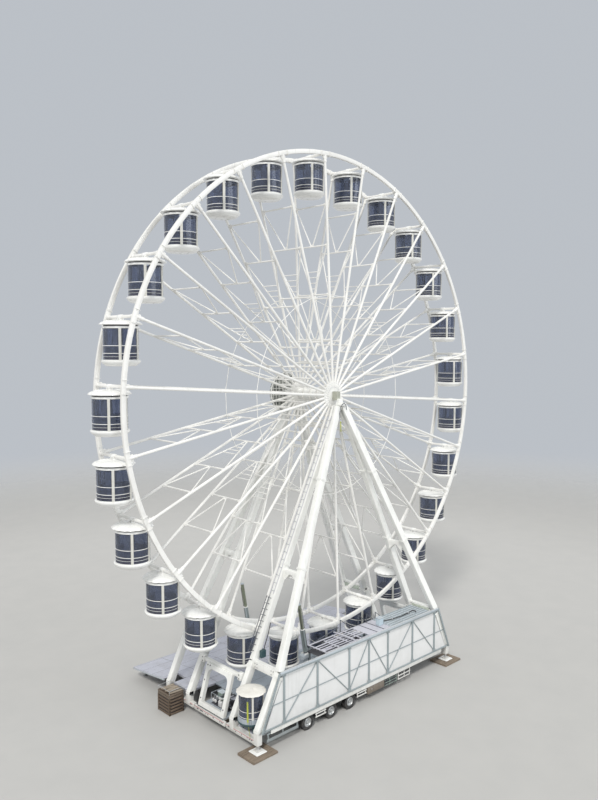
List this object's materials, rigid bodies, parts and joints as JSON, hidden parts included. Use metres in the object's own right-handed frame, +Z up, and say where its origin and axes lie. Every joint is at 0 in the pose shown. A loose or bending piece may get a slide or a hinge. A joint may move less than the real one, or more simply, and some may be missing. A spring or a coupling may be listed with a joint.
{
  "type": "ferris wheel",
  "caption": "Transportable giant wheel with tubular spokes and closed glass cabins that stay level, carried by splayed A-frames on outriggers and trailers.",
  "frame": {"origin": "ground level, at the middle of the part's plan outline; the axle lies 2.05 m nearer the near side", "axes": "+X along the wheel's plane to the right as seen from the near side, +Y along the axle to the boarding side, +Z up"},
  "size_m": [36.4552, 15.3, 38.8583],
  "materials": {
    "white_paint": "semi-gloss white paint, lightly weathered",
    "hub_grey": "grey-green machine paint",
    "cabin_shell": "glossy white laminate with tinted glazing",
    "cabin_glass": "blue-violet tinted curved glass",
    "trailer_grey": "blue-grey satin paint",
    "wall_panel": "pale satin panels",
    "decking": "lilac-grey plate decking, matt",
    "ram_olive": "grey-olive satin paint",
    "tyre_rubber": "black rubber on light steel rims",
    "timber": "rough sawn timber"
  },
  "bodies": {
    "stand": {"near_left_legs": "white_paint", "near_left_outrigger": "white_paint", "near_left_planks": "timber", "near_right_legs": "white_paint", "near_right_outrigger": "white_paint", "near_right_planks": "timber", "far_left_legs": "white_paint", "far_left_outrigger": "white_paint", "far_left_crate": "timber", "far_right_legs": "white_paint", "far_right_outrigger": "white_paint", "far_right_planks": "timber", "near_left_ram": "ram_olive", "far_left_ram": "ram_olive", "near_head": "white_paint", "far_head": "white_paint", "display_disc": "white_paint", "near_trailer": "trailer_grey", "near_trailer_wall": "wall_panel", "far_platform": "decking", "centre_deck": "trailer_grey", "left_portal": "white_paint", "right_portal": "white_paint", "spare_cabin": "cabin_shell"},
    "wheel": {"near_rim": "white_paint", "far_rim": "white_paint", "spokes_right": "white_paint", "spokes_left": "white_paint", "hub_shaft": "hub_grey"},
    "cabin_01": {"cabin_01": "cabin_shell"},
    "cabin_02": {"cabin_02": "cabin_shell"},
    "cabin_03": {"cabin_03": "cabin_shell"},
    "cabin_04": {"cabin_04": "cabin_shell"},
    "cabin_05": {"cabin_05": "cabin_shell"},
    "cabin_06": {"cabin_06": "cabin_shell"},
    "cabin_07": {"cabin_07": "cabin_shell"},
    "cabin_08": {"cabin_08": "cabin_shell"},
    "cabin_09": {"cabin_09": "cabin_shell"},
    "cabin_10": {"cabin_10": "cabin_shell"},
    "cabin_11": {"cabin_11": "cabin_shell"},
    "cabin_12": {"cabin_12": "cabin_shell"},
    "cabin_13": {"cabin_13": "cabin_shell"},
    "cabin_14": {"cabin_14": "cabin_shell"},
    "cabin_15": {"cabin_15": "cabin_shell"},
    "cabin_16": {"cabin_16": "cabin_shell"},
    "cabin_17": {"cabin_17": "cabin_shell"},
    "cabin_18": {"cabin_18": "cabin_shell"},
    "cabin_19": {"cabin_19": "cabin_shell"},
    "cabin_20": {"cabin_20": "cabin_shell"},
    "cabin_21": {"cabin_21": "cabin_shell"},
    "cabin_22": {"cabin_22": "cabin_shell"},
    "cabin_23": {"cabin_23": "cabin_shell"},
    "cabin_24": {"cabin_24": "cabin_shell"},
    "cabin_25": {"cabin_25": "cabin_shell"},
    "cabin_26": {"cabin_26": "cabin_shell"},
    "near_axle_1": {"near_axle_1": "tyre_rubber"},
    "near_axle_2": {"near_axle_2": "tyre_rubber"},
    "near_axle_3": {"near_axle_3": "tyre_rubber"}
  },
  "joints": [
    {"name": "wheel_spin", "type": "hinge", "parent": "stand", "child": "wheel", "pos_m": [0, -2.05, 21.7], "axis": [0, 1, 0], "continuous": true},
    {"name": "cabin_01_hang", "type": "hinge", "parent": "wheel", "child": "cabin_01", "pos_m": [-0.78451, -2.05, 38.68189], "axis": [0, 1, 0], "continuous": true},
    {"name": "cabin_02_hang", "type": "hinge", "parent": "wheel", "child": "cabin_02", "pos_m": [3.30232, -2.05, 38.37617], "axis": [0, 1, 0], "continuous": true},
    {"name": "cabin_03_hang", "type": "hinge", "parent": "wheel", "child": "cabin_03", "pos_m": [7.19723, -2.05, 37.1013], "axis": [0, 1, 0], "continuous": true},
    {"name": "cabin_04_hang", "type": "hinge", "parent": "wheel", "child": "cabin_04", "pos_m": [10.67386, -2.05, 34.93135], "axis": [0, 1, 0], "continuous": true},
    {"name": "cabin_05_hang", "type": "hinge", "parent": "wheel", "child": "cabin_05", "pos_m": [13.53017, -2.05, 31.99245], "axis": [0, 1, 0], "continuous": true},
    {"name": "cabin_06_hang", "type": "hinge", "parent": "wheel", "child": "cabin_06", "pos_m": [15.60015, -2.05, 28.45539], "axis": [0, 1, 0], "continuous": true},
    {"name": "cabin_07_hang", "type": "hinge", "parent": "wheel", "child": "cabin_07", "pos_m": [16.76351, -2.05, 24.52573], "axis": [0, 1, 0], "continuous": true},
    {"name": "cabin_08_hang", "type": "hinge", "parent": "wheel", "child": "cabin_08", "pos_m": [16.95263, -2.05, 20.43185], "axis": [0, 1, 0], "continuous": true},
    {"name": "cabin_09_hang", "type": "hinge", "parent": "wheel", "child": "cabin_09", "pos_m": [16.15653, -2.05, 16.41167], "axis": [0, 1, 0], "continuous": true},
    {"name": "cabin_10_hang", "type": "hinge", "parent": "wheel", "child": "cabin_10", "pos_m": [14.42147, -2.05, 12.69883], "axis": [0, 1, 0], "continuous": true},
    {"name": "cabin_11_hang", "type": "hinge", "parent": "wheel", "child": "cabin_11", "pos_m": [11.84829, -2.05, 9.5091], "axis": [0, 1, 0], "continuous": true},
    {"name": "cabin_12_hang", "type": "hinge", "parent": "wheel", "child": "cabin_12", "pos_m": [8.58652, -2.05, 7.02786], "axis": [0, 1, 0], "continuous": true},
    {"name": "cabin_13_hang", "type": "hinge", "parent": "wheel", "child": "cabin_13", "pos_m": [4.82574, -2.05, 5.39932], "axis": [0, 1, 0], "continuous": true},
    {"name": "cabin_14_hang", "type": "hinge", "parent": "wheel", "child": "cabin_14", "pos_m": [0.78451, -2.05, 4.71811], "axis": [0, 1, 0], "continuous": true},
    {"name": "cabin_15_hang", "type": "hinge", "parent": "wheel", "child": "cabin_15", "pos_m": [-3.30232, -2.05, 5.02383], "axis": [0, 1, 0], "continuous": true},
    {"name": "cabin_16_hang", "type": "hinge", "parent": "wheel", "child": "cabin_16", "pos_m": [-7.19723, -2.05, 6.2987], "axis": [0, 1, 0], "continuous": true},
    {"name": "cabin_17_hang", "type": "hinge", "parent": "wheel", "child": "cabin_17", "pos_m": [-10.67386, -2.05, 8.46865], "axis": [0, 1, 0], "continuous": true},
    {"name": "cabin_18_hang", "type": "hinge", "parent": "wheel", "child": "cabin_18", "pos_m": [-13.53017, -2.05, 11.40755], "axis": [0, 1, 0], "continuous": true},
    {"name": "cabin_19_hang", "type": "hinge", "parent": "wheel", "child": "cabin_19", "pos_m": [-15.60015, -2.05, 14.94461], "axis": [0, 1, 0], "continuous": true},
    {"name": "cabin_20_hang", "type": "hinge", "parent": "wheel", "child": "cabin_20", "pos_m": [-16.76351, -2.05, 18.87427], "axis": [0, 1, 0], "continuous": true},
    {"name": "cabin_21_hang", "type": "hinge", "parent": "wheel", "child": "cabin_21", "pos_m": [-16.95263, -2.05, 22.96815], "axis": [0, 1, 0], "continuous": true},
    {"name": "cabin_22_hang", "type": "hinge", "parent": "wheel", "child": "cabin_22", "pos_m": [-16.15653, -2.05, 26.98833], "axis": [0, 1, 0], "continuous": true},
    {"name": "cabin_23_hang", "type": "hinge", "parent": "wheel", "child": "cabin_23", "pos_m": [-14.42147, -2.05, 30.70117], "axis": [0, 1, 0], "continuous": true},
    {"name": "cabin_24_hang", "type": "hinge", "parent": "wheel", "child": "cabin_24", "pos_m": [-11.84829, -2.05, 33.8909], "axis": [0, 1, 0], "continuous": true},
    {"name": "cabin_25_hang", "type": "hinge", "parent": "wheel", "child": "cabin_25", "pos_m": [-8.58652, -2.05, 36.37214], "axis": [0, 1, 0], "continuous": true},
    {"name": "cabin_26_hang", "type": "hinge", "parent": "wheel", "child": "cabin_26", "pos_m": [-4.82574, -2.05, 38.00068], "axis": [0, 1, 0], "continuous": true},
    {"name": "near_axle_1_roll", "type": "hinge", "parent": "stand", "child": "near_axle_1", "pos_m": [-5.62, -5.65, 0.527], "axis": [0, 1, 0], "continuous": true},
    {"name": "near_axle_2_roll", "type": "hinge", "parent": "stand", "child": "near_axle_2", "pos_m": [-3.39, -5.65, 0.527], "axis": [0, 1, 0], "continuous": true},
    {"name": "near_axle_3_roll", "type": "hinge", "parent": "stand", "child": "near_axle_3", "pos_m": [-1.52, -5.65, 0.527], "axis": [0, 1, 0], "continuous": true}
  ],
  "couplings": [
    {"joint": "cabin_01_hang", "follows": "wheel_spin", "ratio": -1},
    {"joint": "cabin_02_hang", "follows": "wheel_spin", "ratio": -1},
    {"joint": "cabin_03_hang", "follows": "wheel_spin", "ratio": -1},
    {"joint": "cabin_04_hang", "follows": "wheel_spin", "ratio": -1},
    {"joint": "cabin_05_hang", "follows": "wheel_spin", "ratio": -1},
    {"joint": "cabin_06_hang", "follows": "wheel_spin", "ratio": -1},
    {"joint": "cabin_07_hang", "follows": "wheel_spin", "ratio": -1},
    {"joint": "cabin_08_hang", "follows": "wheel_spin", "ratio": -1},
    {"joint": "cabin_09_hang", "follows": "wheel_spin", "ratio": -1},
    {"joint": "cabin_10_hang", "follows": "wheel_spin", "ratio": -1},
    {"joint": "cabin_11_hang", "follows": "wheel_spin", "ratio": -1},
    {"joint": "cabin_12_hang", "follows": "wheel_spin", "ratio": -1},
    {"joint": "cabin_13_hang", "follows": "wheel_spin", "ratio": -1},
    {"joint": "cabin_14_hang", "follows": "wheel_spin", "ratio": -1},
    {"joint": "cabin_15_hang", "follows": "wheel_spin", "ratio": -1},
    {"joint": "cabin_16_hang", "follows": "wheel_spin", "ratio": -1},
    {"joint": "cabin_17_hang", "follows": "wheel_spin", "ratio": -1},
    {"joint": "cabin_18_hang", "follows": "wheel_spin", "ratio": -1},
    {"joint": "cabin_19_hang", "follows": "wheel_spin", "ratio": -1},
    {"joint": "cabin_20_hang", "follows": "wheel_spin", "ratio": -1},
    {"joint": "cabin_21_hang", "follows": "wheel_spin", "ratio": -1},
    {"joint": "cabin_22_hang", "follows": "wheel_spin", "ratio": -1},
    {"joint": "cabin_23_hang", "follows": "wheel_spin", "ratio": -1},
    {"joint": "cabin_24_hang", "follows": "wheel_spin", "ratio": -1},
    {"joint": "cabin_25_hang", "follows": "wheel_spin", "ratio": -1},
    {"joint": "cabin_26_hang", "follows": "wheel_spin", "ratio": -1}
  ]
}
